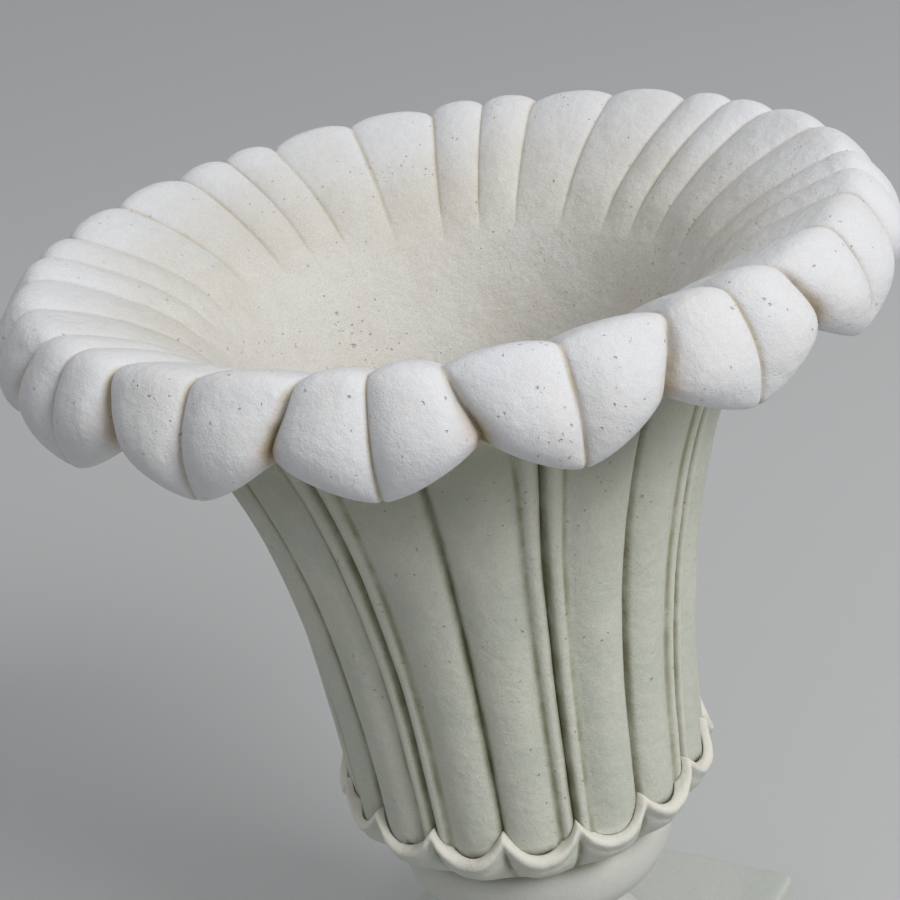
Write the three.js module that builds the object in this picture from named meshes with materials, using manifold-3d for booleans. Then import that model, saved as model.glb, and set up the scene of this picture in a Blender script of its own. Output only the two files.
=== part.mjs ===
// Urn planter in cast stone: a fluted trumpet bowl with a rolled petal rim and a calyx, on a turned stem
// and a square plinth. A hollow tie tube clamps the three castings together and drains the bowl.
// Millimetres, +Z up, the floor at z = 0 and the urn's axis on Z.
import * as THREE from 'three';
import { mergeVertices } from 'three/addons/utils/BufferGeometryUtils.js';
import Module from 'manifold-3d';

const wasm = await Module();
wasm.setup();

// ---------------------------------------------------------------- driving dimensions
const petals = 16;            // rim petals, of two lobes each: even ones are wide on the crown, odd ones narrow
const seatGap = 0.3;          // clearance between pieces that touch on the real urn

const plinthSide = 265;
const plinthHeight = 62;
const plinthArris = 5;        // chamfer of the plinth's upright edges
const edgeChamfer = 2.5;      // and of its level edges

const bedThickness = 2;       // mortar bed under the bowl and under the stem
const bedInset = 5;           // how far a mortar bed stays back from the edge of its joint

const stemHeight = 132;
const ringRadius = 97;        // the round ring under the bowl
const ringTopRadius = 92;
const ringDrop = 18;          // from the top of the stem to the ring's widest line
const ringDepth = 46;         // and from there down to where it meets the waist
const waistRadius = 50;
const footRadius = 68;
const footLip = 8;            // upright edge of the foot

const bowlHeight = 435;       // from the bowl's seat to the top of the rim's lobes
const rimRadius = 282;        // outermost point of the lobes
const rimOverhang = 102;      // from there in to the top of the body
const rimDepth = 86;          // and from the top of the lobes down to it
const bodyFootRadius = 117;   // body's grooves where they run into the calyx
const wall = 34;              // wall of the bowl near its floor
const wallSwell = 6.2;        // how much thicker the wall grows towards the rim
const floorThickness = 46;
const bowlFootRadius = 99;    // where the calyx ends on the stem
const panelRelief = 5.5;      // how far a body panel stands out of the grooves
const beadRelief = 4;
const softGrooveRelief = 2.4;

const lipHigh = 53;           // calyx lip above the seat, at the grooves
const lipLow = 36;            // and in the middle of a cup
const lipGap = 1.2;           // between the lip and the body
const troughDepth = 4;        // depth of that gap

const tubeRadius = 10;
const tubeBore = 6;
const tubeClearance = 2;      // radial room for the tube in the castings
const threadClearance = 0.3;  // radial room for the tube in nuts and washers
const nutAcrossFlats = 30;
const nutHeight = 16;
const tubeStandOut = 4;       // thread that shows past each nut
const washerRadius = 26;
const washerThickness = 4;
const gasketThickness = 3;
const recessClearance = 4;    // room round the lower washer and under the tube's end

const dowelRadius = 5;
const dowelLength = 50;
const upperDowelCircle = 58;  // radius of the circle on which the dowels stand
const lowerDowelCircle = 38;

// ---------------------------------------------------------------- levels that follow from them
const joint = bedThickness + 2 * seatGap;
const stemBase = plinthHeight + joint;
const stemTop = stemBase + stemHeight;
const seat = stemTop + joint;
const rimTop = seat + bowlHeight;
const boreRadius = tubeRadius + tubeClearance;
const floorTop = seat + floorThickness;
const recessDepth = recessClearance + tubeStandOut + nutHeight + washerThickness + 3 * seatGap;

const stone = (name, color) => new THREE.MeshStandardMaterial({ name, color, roughness: 0.85, metalness: 0 });
const materials = {
  stone: stone('cast_stone', 0xdcd9d2),
  plinth: stone('plinth_stone', 0xcfccc4),
  mortar: stone('mortar', 0xaaa69c),
  steel: new THREE.MeshStandardMaterial({ name: 'galvanised_steel', color: 0x9da1a3, roughness: 0.4, metalness: 0.9 }),
  rubber: new THREE.MeshStandardMaterial({ name: 'rubber', color: 0x222222, roughness: 0.9, metalness: 0 }),
};

// ---------------------------------------------------------------- solids
function toManifold(geometry) {
  const bare = geometry.clone();
  bare.deleteAttribute('normal');
  bare.deleteAttribute('uv');
  const merged = mergeVertices(bare, 1e-3);
  return new wasm.Manifold(new wasm.Mesh({
    numProp: 3,
    vertProperties: new Float32Array(merged.attributes.position.array),
    triVerts: new Uint32Array(merged.index.array),
  }));
}

function toGeometry(solid) {
  const mesh = solid.getMesh();
  const geometry = new THREE.BufferGeometry();
  geometry.setAttribute('position', new THREE.BufferAttribute(new Float32Array(mesh.vertProperties), 3));
  geometry.setIndex(new THREE.BufferAttribute(new Uint32Array(mesh.triVerts), 1));
  geometry.computeVertexNormals();
  return geometry;
}

// A cylinder along Z from low to high, round (x, y).
function rod(radius, low, high, x = 0, y = 0, sides = 24) {
  const geometry = new THREE.CylinderGeometry(radius, radius, high - low, sides);
  geometry.rotateX(Math.PI / 2);
  geometry.translate(x, y, (low + high) / 2);
  return geometry;
}

// A turned piece from a closed list of [radius, z] corners.
function turned(corners, sides) {
  const profile = corners.map(([r, z]) => new THREE.Vector2(r, z));
  profile.push(profile[0].clone());
  const geometry = new THREE.LatheGeometry(profile, sides);
  geometry.rotateX(Math.PI / 2);
  return geometry;
}

function ring(inner, outer, low, high, sides = 32) {
  return turned([[inner, low], [outer, low], [outer, high], [inner, high]], sides);
}

function cut(geometry, tools) {
  return toGeometry(tools.reduce((solid, tool) => solid.subtract(toManifold(tool)), toManifold(geometry)));
}

// Places of two dowels on a circle, turned by an angle.
function dowelPlaces(circle, turn) {
  return [0, Math.PI].map((a) => [circle * Math.cos(a + turn), circle * Math.sin(a + turn)]);
}

const dowelHoles = (circle, turn, level) => dowelPlaces(circle, turn).map(([x, y]) => rod(
  dowelRadius + seatGap, level - dowelLength / 2 - seatGap, level + dowelLength / 2 + seatGap, x, y));

const upperJointLevel = (stemTop + seat) / 2;
const lowerJointLevel = (plinthHeight + stemBase) / 2;
const upperDowelTurn = Math.PI / 4;
const lowerDowelTurn = -Math.PI / 4;

// ---------------------------------------------------------------- bowl
// The bowl is one closed skin: a grid of columns round the urn by rows along its section, from the bore up
// the inside, over the rim, down the body and the calyx, and back to the bore underneath. A column is given
// by its petal and by q, from 0 at the petal's middle groove to 1 at the gap beside it.
const columnSteps = [-0.5, 0, 0.5, 1];

// Sections of the rim as [inset from rimRadius, drop from rimTop], from the start of the inner flutes over
// the crown and round the petal's edge to the body: along a petal's middle groove and along a gap.
const middleSection = [[134, 71], [112, 46.9], [81, 25.6], [46.7, 10.4], [27.6, 6.9], [14.9, 21.4], [8.4, 38.6],
  [8, 54], [10.5, 65.5], [17, 68.5], [27, 59], [40, 46], [67, 56], [90, 76]];
const gapSection = [[134, 71], [111.5, 47.5], [80.4, 26.6], [46.4, 11.2], [28.3, 8.2], [19.5, 20], [16, 30],
  [14.5, 36.5], [16, 41.5], [20, 44.5], [28, 47], [40, 46], [67, 56], [90, 76]];
// How far a lobe's crest stands out of its grooves, and how far each gap leans towards the narrow petal as a
// share of the pitch, along the same sections.
const lobeHeight = [0, 2.8, 3.8, 4.8, 5.8, 7.5, 8.4, 7, 3, 1.2, 0.6, 0, 0, 0];
const gapLean = [0.07, 0.08, 0.1, 0.12, 0.1, 0.05, 0, -0.025, -0.03, -0.03, -0.015, 0, 0, 0];
const rimSteps = gapLean.length - 1;

const smooth = (points) => new THREE.CatmullRomCurve3(
  points.map(([x, y]) => new THREE.Vector3(x, y, 0)), false, 'catmullrom', 0.5);
const middleCurve = smooth(middleSection);
const gapCurve = smooth(gapSection);
const lobeCurve = smooth(lobeHeight.map((height, i) => [height, gapLean[i]]));

// The body flares from the calyx up to the rim. A share of its height gives the radius of its grooves.
const bodyFoot = seat + lipLow - troughDepth;
const bodyTop = rimTop - rimDepth;
const grooveRadius = (share) => THREE.MathUtils.lerp(
  bodyFootRadius, rimRadius - rimOverhang, 0.18 * share + 0.82 * share ** 2.75);

// Cross-section of a lobe: 0 at its two grooves, 1 at its crest.
const lobe = (q) => 1 - Math.abs(2 * q - 1) ** 2.6;

// The petal without its lobes at a step of the sections: its edge rises in a point from the middle groove to
// the gap, and its face turns in towards the gap.
function petalPoint(step, q) {
  const middle = middleCurve.getPoint(step / rimSteps);
  const gap = gapCurve.getPoint(step / rimSteps);
  return new THREE.Vector2(
    rimRadius - THREE.MathUtils.lerp(middle.x, gap.x, q ** 3),
    rimTop - THREE.MathUtils.lerp(middle.y, gap.y, q ** 1.25));
}

// A row of the rim: the lobes stand out of the petal at right angles to its section.
function rimRow(step) {
  const { x: height, y: lean } = lobeCurve.getPoint(step / rimSteps);
  return {
    lean,
    place(q) {
      const before = petalPoint(Math.max(step - 0.1, 0), q);
      const along = petalPoint(Math.min(step + 0.1, rimSteps), q).sub(before).normalize();
      const rise = height * lobe(q);
      return petalPoint(step, q).add(new THREE.Vector2(-along.y, along.x).multiplyScalar(rise)).toArray();
    },
  };
}

// Where a column of the grid runs on the body: beside a beaded groove, along the crest of the bead.
const beadCrest = 0.22;
const bodyQ = (q, beaded) => (beaded && q === 0.5 ? beadCrest : q);

// How far the body stands out of its grooves: a bead beside a beaded groove, and a crowned panel.
function bodyRelief(q, beaded) {
  if (q === 0) return 0;
  return beaded && q === beadCrest ? beadRelief + softGrooveRelief / 2 : panelRelief;
}

function bodyRow(share) {
  const z = THREE.MathUtils.lerp(bodyFoot, bodyTop, share);
  const radius = grooveRadius(share);
  return { lean: 0, onBody: true, place: (q, beaded) => [radius + bodyRelief(q, beaded), z] };
}

const plainRow = (r, z) => ({ lean: 0, place: () => [r, z] });

function innerWallRow(share) {
  const z = THREE.MathUtils.lerp(bodyFoot, bodyTop, share);
  return plainRow(grooveRadius(share) - wall - wallSwell * share ** 3, z);
}

// The calyx: one cup for each body panel, its lip low in the middle of the panel and high at the grooves.
const lipSpread = 122.5;      // lip's outer radius at the grooves
const lipBulge = 5.5;         // and how much wider it is in the middle of a cup
const cupMiddle = (q) => 1 - (1 - q) ** 2;
const lipLevel = (q) => seat + THREE.MathUtils.lerp(lipHigh, lipLow, cupMiddle(q));
const lipRadius = (q) => lipSpread + lipBulge * cupMiddle(q);

const troughRow = () => ({
  lean: 0, onBody: true,
  place: (q, beaded) => [bodyFootRadius + bodyRelief(q, beaded), lipLevel(q) - troughDepth],
});
// A point of the lip's top: a share of the way out from the body, and a drop from the lip's level.
const lipRow = (share, drop) => ({
  lean: 0, onBody: true,
  place: (q, beaded) => [
    THREE.MathUtils.lerp(bodyFootRadius + bodyRelief(q, beaded) + lipGap, lipRadius(q), share), lipLevel(q) - drop],
});
const cupRow = (share) => ({
  lean: 0,
  place: (q) => [THREE.MathUtils.lerp(lipRadius(q), bowlFootRadius, share ** 1.8),
    THREE.MathUtils.lerp(lipLevel(q), seat + 2, share)],
});

function bowlRows() {
  const floorEdge = bodyFootRadius - wall;
  return [
    plainRow(boreRadius, floorTop),
    plainRow(floorEdge - 24, floorTop),
    plainRow(floorEdge - 6, floorTop + 7),
    plainRow(floorEdge + 0.5, floorTop + 26),
    ...[0.34, 0.6, 0.84].map(innerWallRow),
    ...[0, 1, 2, 3, 3.6, 4.2, 5, 6, 7.2, 8, 9, 10, 11, 12, 13].map(rimRow),
    ...[0.88, 0.74, 0.56, 0.36, 0.14].map(bodyRow),
    troughRow(),
    lipRow(0, 1),
    lipRow(0.5, 0),
    lipRow(1, 3),
    cupRow(0.35),
    cupRow(0.7),
    plainRow(bowlFootRadius, seat + 2),
    plainRow(bowlFootRadius - 3, seat),
    plainRow(boreRadius, seat),
  ];
}

function bowlSkin() {
  const rows = bowlRows();
  const pitch = (2 * Math.PI) / petals;
  const width = petals * columnSteps.length;
  const positions = [];
  for (const row of rows) {
    for (let petal = 0; petal < petals; petal += 1) {
      const wide = petal % 2 === 0;
      const half = 0.5 + (wide ? row.lean : -row.lean);
      for (const step of columnSteps) {
        const q = row.onBody ? bodyQ(Math.abs(step), wide) : Math.abs(step);
        const turn = (petal + Math.sign(step) * q * half) * pitch;
        const [r, z] = row.place(q, wide);
        positions.push(r * Math.sin(turn), -r * Math.cos(turn), z);
      }
    }
  }
  const index = [];
  for (let i = 0; i < rows.length; i += 1) {
    const here = i * width;
    const next = ((i + 1) % rows.length) * width;
    for (let j = 0; j < width; j += 1) {
      const k = (j + 1) % width;
      index.push(here + j, next + k, here + k, here + j, next + j, next + k);
    }
  }
  const geometry = new THREE.BufferGeometry();
  geometry.setAttribute('position', new THREE.Float32BufferAttribute(positions, 3));
  geometry.setIndex(index);
  return geometry;
}

const bowl = () => cut(bowlSkin(), dowelHoles(upperDowelCircle, upperDowelTurn, upperJointLevel));

// ---------------------------------------------------------------- stem and plinth
// The stem's outline, from the plinth up: a foot, a hollow up to the waist, and the round ring under the bowl.
function stem() {
  const hollowTop = stemTop - ringDrop - ringDepth;
  const outline = new THREE.SplineCurve([
    [footRadius, stemBase + footLip],
    [THREE.MathUtils.lerp(waistRadius, footRadius, 0.35), THREE.MathUtils.lerp(stemBase, hollowTop, 0.4)],
    [waistRadius, THREE.MathUtils.lerp(stemBase, hollowTop, 0.72)],
    [THREE.MathUtils.lerp(waistRadius, ringRadius, 0.2), hollowTop],
    [THREE.MathUtils.lerp(waistRadius, ringRadius, 0.74), stemTop - ringDrop - 0.6 * ringDepth],
    [THREE.MathUtils.lerp(waistRadius, ringRadius, 0.95), stemTop - ringDrop - 0.25 * ringDepth],
    [ringRadius, stemTop - ringDrop],
    [ringTopRadius, stemTop],
  ].map(([r, z]) => new THREE.Vector2(r, z))).getPoints(18).map((p) => [p.x, p.y]);
  return cut(turned([[boreRadius, stemBase], [footRadius, stemBase], ...outline, [boreRadius, stemTop]], 48), [
    ...dowelHoles(upperDowelCircle, upperDowelTurn, upperJointLevel),
    ...dowelHoles(lowerDowelCircle, lowerDowelTurn, lowerJointLevel),
  ]);
}

function plinth() {
  const half = plinthSide / 2;
  const inner = half - plinthArris;
  const outline = new THREE.Shape([
    [half, -inner], [half, inner], [inner, half], [-inner, half],
    [-half, inner], [-half, -inner], [-inner, -half], [inner, -half],
  ].map(([x, y]) => new THREE.Vector2(x, y)));
  const block = new THREE.ExtrudeGeometry(outline, {
    depth: plinthHeight - 2 * edgeChamfer, bevelEnabled: true, bevelSegments: 1,
    bevelSize: edgeChamfer, bevelThickness: edgeChamfer, bevelOffset: -edgeChamfer,
  });
  block.translate(0, 0, edgeChamfer);
  return cut(block, [
    rod(boreRadius, -1, plinthHeight + 1),
    rod(washerRadius + recessClearance, -1, recessDepth, 0, 0, 32),
    ...dowelHoles(lowerDowelCircle, lowerDowelTurn, lowerJointLevel),
  ]);
}

// ---------------------------------------------------------------- joints and tie
// A mortar bed fills a joint, with openings for the tie tube and the dowels.
const bed = (radius, low, circle, turn) => cut(
  ring(boreRadius, radius, low + seatGap, low + seatGap + bedThickness, 48),
  dowelPlaces(circle, turn).map(([x, y]) => rod(dowelRadius + seatGap, low - 1, low + joint + 1, x, y)));

function hexNut(low) {
  const corner = nutAcrossFlats / 2 / Math.cos(Math.PI / 6);
  const outline = new THREE.Shape(Array.from({ length: 6 }, (_, i) => new THREE.Vector2(
    corner * Math.cos((i * Math.PI) / 3), corner * Math.sin((i * Math.PI) / 3))));
  const hole = new THREE.Path();
  hole.absarc(0, 0, tubeRadius + threadClearance, 0, 2 * Math.PI, true);
  outline.holes.push(hole);
  const geometry = new THREE.ExtrudeGeometry(outline, { depth: nutHeight, bevelEnabled: false, curveSegments: 12 });
  geometry.translate(0, 0, low);
  return geometry;
}

const plateWasher = (low) => ring(tubeRadius + threadClearance, washerRadius, low, low + washerThickness);

const gasketLow = floorTop + seatGap;
const topWasherLow = gasketLow + gasketThickness + seatGap;
const topNutLow = topWasherLow + washerThickness + seatGap;
const tubeTop = topNutLow + nutHeight + tubeStandOut;
const bottomWasherLow = recessDepth - seatGap - washerThickness;
const bottomNutLow = bottomWasherLow - seatGap - nutHeight;
const tubeBottom = bottomNutLow - tubeStandOut;

// ---------------------------------------------------------------- the urn
const urn = new THREE.Group();

function add(name, geometry, material) {
  const mesh = new THREE.Mesh(geometry, material);
  mesh.name = name;
  urn.add(mesh);
}

add('bowl', bowl(), materials.stone);
add('stem', stem(), materials.stone);
add('plinth', plinth(), materials.plinth);
add('upper_mortar_bed', bed(ringTopRadius - bedInset, stemTop, upperDowelCircle, upperDowelTurn), materials.mortar);
add('lower_mortar_bed', bed(footRadius - bedInset, plinthHeight, lowerDowelCircle, lowerDowelTurn), materials.mortar);
add('tie_tube', ring(tubeBore, tubeRadius, tubeBottom, tubeTop, 24), materials.steel);
add('drain_gasket', ring(tubeRadius + threadClearance, washerRadius, gasketLow, gasketLow + gasketThickness),
  materials.rubber);
add('top_washer', plateWasher(topWasherLow), materials.steel);
add('top_nut', hexNut(topNutLow), materials.steel);
add('bottom_washer', plateWasher(bottomWasherLow), materials.steel);
add('bottom_nut', hexNut(bottomNutLow), materials.steel);
for (const [label, circle, turn, level] of [
  ['upper', upperDowelCircle, upperDowelTurn, upperJointLevel],
  ['lower', lowerDowelCircle, lowerDowelTurn, lowerJointLevel],
]) {
  dowelPlaces(circle, turn).forEach(([x, y], i) => {
    add(`${label}_dowel_${i + 1}`, rod(dowelRadius, level - dowelLength / 2, level + dowelLength / 2, x, y, 16),
      materials.steel);
  });
}

export default urn;
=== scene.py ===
import math

import bpy
import numpy as np
from mathutils import Matrix, Vector


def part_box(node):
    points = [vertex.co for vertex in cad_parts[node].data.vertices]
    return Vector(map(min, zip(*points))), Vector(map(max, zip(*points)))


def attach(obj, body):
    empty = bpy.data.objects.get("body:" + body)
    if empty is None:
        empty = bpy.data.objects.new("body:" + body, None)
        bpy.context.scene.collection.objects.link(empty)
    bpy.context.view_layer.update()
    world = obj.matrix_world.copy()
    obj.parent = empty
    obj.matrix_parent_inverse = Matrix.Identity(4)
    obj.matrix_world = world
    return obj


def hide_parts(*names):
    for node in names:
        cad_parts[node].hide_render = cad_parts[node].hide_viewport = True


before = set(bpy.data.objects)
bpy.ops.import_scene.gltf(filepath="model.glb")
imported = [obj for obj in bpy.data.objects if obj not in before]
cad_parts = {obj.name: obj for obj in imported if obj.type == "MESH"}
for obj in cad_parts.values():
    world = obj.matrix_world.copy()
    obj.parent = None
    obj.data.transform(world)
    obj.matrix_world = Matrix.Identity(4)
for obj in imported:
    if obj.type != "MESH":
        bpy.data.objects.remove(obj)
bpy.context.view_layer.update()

bl_info = {
    "name": "Urn Planter",
    "version": (1, 0, 0),
    "blender": (4, 5, 0),
    "location": "View3D > Sidebar > Urn",
    "description": "Cast-stone urn planter with a petal rim, on a turned stem and a square plinth",
    "category": "Add Mesh",
}

MM = 0.001
BODY = "root"
GOLDEN_TURN = 2.4             # radians; keeps the waves of an uneven surface from lining up


# ------------------------------------------------------------------ sizes and colours
def low(node):
    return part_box(node)[0]


def high(node):
    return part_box(node)[1]


def length(name, description, default):
    return bpy.props.FloatProperty(name=name, description=description, default=default, min=0.0,
                                   unit="LENGTH", subtype="DISTANCE", precision=4)


def colour(name, description, default):
    return bpy.props.FloatVectorProperty(name=name, description=description, default=default, size=3,
                                         min=0.0, max=1.0, subtype="COLOR")


class UrnSizes(bpy.types.PropertyGroup):
    """Sizes of the urn, in metres"""
    rim_radius: length("Rim radius", "Outermost point of the rim's lobes", 0.282)
    bowl_height: length("Bowl height", "From the bowl's seat to the top of the lobes", 0.435)
    rim_overhang: length("Rim overhang", "From the rim in to the top of the body", 0.102)
    rim_depth: length("Rim depth", "From the top of the lobes down to the body", 0.086)
    body_foot_radius: length("Body foot radius", "The body's grooves where they enter the calyx", 0.117)
    wall: length("Wall", "Wall of the bowl near its floor", 0.034)
    wall_swell: length("Wall swell", "How much thicker the wall grows towards the rim", 0.0062)
    floor: length("Floor", "Thickness of the bowl's floor", 0.046)
    bowl_foot_radius: length("Bowl foot radius", "Where the calyx ends on the stem", 0.099)
    bore_radius: length("Bore radius", "Hole for the tie tube through the castings", 0.012)
    waist_radius: length("Waist radius", "Thinnest part of the stem", 0.05)
    foot_radius: length("Foot radius", "Foot of the stem", 0.068)
    foot_lip: length("Foot lip", "Height of the upright edge of the stem's foot", 0.008)
    plinth_corner: length("Plinth corner", "How far the plinth's corners are eased", 0.006)
    recess_radius: length("Recess radius", "Recess under the plinth for the lower nut", 0.03)
    recess_depth: length("Recess depth", "How deep the recess goes into the plinth", 0.0289)
    panel_relief: length("Panel relief", "How far a panel stands out of the body's grooves", 0.0078)
    bead_relief: length("Bead relief", "How far a bead stands out beside its groove", 0.0046)
    soft_groove: length("Soft groove", "How far the soft groove behind a bead lies out of the deep one", 0.0016)
    lip_high: length("Lip at grooves", "Calyx lip above the seat, at the grooves", 0.053)
    lip_low: length("Lip in the middle", "Calyx lip above the seat, in the middle of a cup", 0.036)
    lip_radius: length("Lip radius", "Outer radius of the calyx lip at the grooves", 0.1285)
    lip_bulge: length("Lip bulge", "How much wider the lip is in the middle of a cup", 0.003)
    lip_gap: length("Lip gap", "Gap between the calyx lip and the body", 0.0005)
    trough: length("Trough", "Depth of the gap behind the lip", 0.004)
    thread_pitch: length("Thread pitch", "Pitch of the tie tube's thread", 0.0018)
    thread_depth: length("Thread depth", "Depth of the tie tube's thread", 0.0009)
    thread_length: length("Thread length", "Length of the thread at each end of the tie tube", 0.045)


class UrnColours(bpy.types.PropertyGroup):
    """Colours of the urn's finishes"""
    stone: colour("Stone", "Clean cast stone of the rim", (0.69, 0.695, 0.725))
    weathered: colour("Weathered stone", "Stone where rain and handling have greyed it", (0.62, 0.6, 0.56))
    inside: colour("Stone inside", "Warm stone deep in the bowl", (0.625, 0.61, 0.56))
    # Painted shade and painted green bounce light: the body's stone is given darker and greener than it is, for
    # the shade under the rim.
    body: colour("Stone under the rim", "Grey-green stone of the body", (0.505, 0.535, 0.46))
    cream: colour("Worn edge", "Cream edges of the calyx and the beads", (0.7, 0.675, 0.59))
    thread: colour("Groove line", "Thin brown line in the grooves of the rim", (0.46, 0.38, 0.25))
    # Also painted shade: this olive darkens the top of the body under the rim and the stem just under the bowl,
    # besides the stain in the grooves.
    grime_and_shade: colour("Grime", "Olive stain that settles in grooves", (0.2, 0.195, 0.095))
    rust: colour("Rust stain", "Brown stain at the ends of the gaps", (0.36, 0.25, 0.14))
    pit: colour("Pit", "Bottom of a small air hole", (0.27, 0.24, 0.2))
    stem: colour("Stem", "Stone of the stem", (0.56, 0.57, 0.53))
    # Painted shade and painted green bounce light: the plinth's stone is given darker and greener for the urn's
    # shadow on it.
    plinth: colour("Plinth", "Stone of the plinth", (0.475, 0.5, 0.47))
    mortar: colour("Mortar", "Bedding mortar", (0.42, 0.4, 0.35))
    zinc: colour("Zinc", "Galvanised steel", (0.5, 0.51, 0.52))
    spangle: colour("Spangle", "Bright crystals of the zinc", (0.72, 0.73, 0.74))
    rubber: colour("Rubber", "Drain gasket", (0.02, 0.02, 0.021))
    dust: colour("Dust", "Dust on the rubber", (0.3, 0.29, 0.27))
    floor: colour("Studio floor", "Floor and backdrop", (0.5, 0.505, 0.51))


def sizes():
    return bpy.context.scene.urn_sizes


def colours():
    return bpy.context.scene.urn_colours


# ------------------------------------------------------------------ surfaces
def spline(points, at):
    """Catmull-Rom curve through points, read at a place between 0 and the last point's number: the cubic of
    the four points around the place, with the end points mirrored outwards."""
    points = np.asarray(points, float)
    padded = np.concatenate([2 * points[:1] - points[1:2], points, 2 * points[-1:] - points[-2:-1]])
    start = np.clip(np.floor(at).astype(int), 0, len(points) - 2)
    f = (at - start)[:, None]
    a, b, c, d = (padded[start + i] for i in range(4))
    return 0.5 * (2 * b + (c - a) * f + (2 * a - 5 * b + 4 * c - d) * f ** 2 + (3 * b - a - 3 * c + d) * f ** 3)


def mix(a, b, share):
    return a + (b - a) * share


def smoothstep(low_edge, high_edge, value):
    """0 below the low edge, 1 above the high edge, and the cubic 3t^2 - 2t^3 between them."""
    t = np.clip((value - low_edge) / (high_edge - low_edge), 0, 1)
    return t * t * (3 - 2 * t)


def fade(distance, width, power=2):
    """1 on a line, falling to nothing on both sides of it: e to the minus power of the distance in widths."""
    return np.exp(-(distance / width) ** power)


def grid_faces(rows, columns):
    """Corners of the quads of a grid whose rows and columns close on themselves."""
    index = np.arange(rows * columns).reshape(rows, columns)
    index = np.vstack([index, index[:1]])
    index = np.hstack([index, index[:, :1]])
    return np.stack([index[:-1, :-1], index[:-1, 1:], index[1:, 1:], index[1:, :-1]], axis=-1).reshape(-1, 4)


def grid_normals(points):
    """Unit normals of a grid: the cross product of the steps along its rows and along its columns."""
    along = np.roll(points, -1, axis=1) - np.roll(points, 1, axis=1)
    across = np.roll(points, -1, axis=0) - np.roll(points, 1, axis=0)
    normal = np.cross(along, across)
    return normal / np.maximum(np.linalg.norm(normal, axis=-1, keepdims=True), 1e-12)


def solid(name, points, masks=None):
    """A mesh object over a grid of points, rows by columns, with its masks as point attributes."""
    rows, columns = points.shape[:2]
    mesh = bpy.data.meshes.new(name)
    mesh.from_pydata(points.reshape(-1, 3), [], grid_faces(rows, columns))
    mesh.validate()
    mesh.polygons.foreach_set("use_smooth", np.ones(len(mesh.polygons), bool))
    for label, values in (masks or {}).items():
        attribute = mesh.attributes.new(label, "FLOAT", "POINT")
        values = np.broadcast_to(values, (rows, columns)).astype(np.float32)
        attribute.data.foreach_set("value", values.ravel())
    mesh.update()
    piece = bpy.data.objects.new(name, mesh)
    bpy.context.scene.collection.objects.link(piece)
    return piece


def uneven(points, normals, depth, wavelength):
    """Slow unevenness of a casting: points move along their normals by the mean of six sine waves, each with
    its own direction, length and phase."""
    total = np.zeros(points.shape[:2])
    for i in range(6):
        turn = GOLDEN_TURN * i
        direction = np.array([math.cos(turn), math.sin(turn), math.cos(1.7 * i + 0.6)])
        total += np.sin(points @ direction * 2 * math.pi / (wavelength * (1 + 0.23 * i)) + 1.9 * i)
    return points + normals * (total * depth / 6)[..., None]


def place(radius, turn, level):
    """Points at a radius, a turn about the urn's axis, counted from -Y towards +X, and a level."""
    return np.stack(np.broadcast_arrays(radius * np.sin(turn), -radius * np.cos(turn), level), axis=-1)


def turned(profile, columns, steps):
    """A piece turned on a lathe: the spline through the profile's points, carried round."""
    at = np.linspace(0, len(profile) - 1, steps)
    radius, level = spline(profile, at).T
    turn = np.linspace(0, 2 * math.pi, columns, endpoint=False)
    return place(radius[:, None], turn[None, :], level[:, None])


def finish(piece, slot, material, *nodes):
    piece.data.materials.append(material)
    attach(piece, BODY)
    if nodes:
        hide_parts(*nodes)
    return piece


# ------------------------------------------------------------------ the bowl's shape
PETALS = 16                   # of two lobes each: even ones are wide on the crown, odd ones narrow
PITCH = 2 * math.pi / PETALS
PLACES = 18                   # columns from a petal's middle groove to the gap beside it
MASKS = ("groove", "inside", "body", "lip", "sheltered", "stain")   # where each stain, tone of stone and painted shade lies

# Sections of the rim, [inset from the rim's radius, drop from its top] in millimetres, from the start of the
# inner flutes over the crown and round the petal's edge to the body.
MIDDLE_GROOVE = [[134, 71], [112, 46.9], [81, 25.6], [46.7, 10.4], [27.6, 6.9], [14.9, 21.4], [8.4, 38.6],
                 [8, 54], [10.5, 65.5], [17, 68.5], [27, 59], [40, 46], [67, 56], [90, 76]]
PETAL_GAP = [[134, 71], [111.5, 47.5], [80.4, 26.6], [46.4, 11.2], [28.3, 8.2], [19.5, 20], [16, 30],
             [14.5, 36.5], [16, 41.5], [20, 44.5], [28, 47], [40, 46], [67, 56], [90, 76]]
# Along the same sections: how far a lobe's crest stands out of its grooves in millimetres, how far each gap
# leans towards the narrow petal as a share of the pitch, and how full a lobe is (a high power fills it).
LOBE_HEIGHT = [0, 2.8, 3.8, 4.8, 5.8, 7.5, 8.4, 7, 3, 1.2, 0.6, 0, 0, 0]
GAP_LEAN = [0.07, 0.08, 0.1, 0.12, 0.1, 0.05, 0, -0.025, -0.03, -0.03, -0.015, 0, 0, 0]
FULLNESS = [2, 2, 2.1, 2.3, 2.5, 2.8, 2.8, 2.6, 2.4, 2.2, 2, 2, 2, 2]
LOBE_VARIATION = 0.07         # how much fuller or flatter than the others a lobe can be, as a share

# Across half a petal of the body, as shares of its width: the bead, the soft groove behind it, and the crest
# of the panel beside a plain groove.
BEAD_AT = 0.24
BEAD_WIDTH = 0.1
SOFT_GROOVE_AT = 0.44
CREST_AT = 0.8

# The calyx lip's top, from the body outwards: share of its width, and level in millimetres.
LIP_TOP = [[0.04, -0.4], [0.13, 0], [0.25, 0.1], [0.4, 0.1], [0.55, -0.1], [0.7, -0.5], [0.82, -1], [0.92, -1.9],
           [0.98, -3], [1, -4.2]]
LIP_EDGE = 4.2 * MM           # height of the lip's outer edge
LEAST_LIP = 6.8 * MM          # least width of the lip


def petal_places():
    """Columns over one petal, from -1 to 1, crowded at its middle groove and at its gaps."""
    u = np.linspace(0, 1, PLACES + 1)
    q = u - 0.72 * np.sin(2 * math.pi * u) / (2 * math.pi)
    return np.concatenate([-q[:0:-1], q])[1:]


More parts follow.
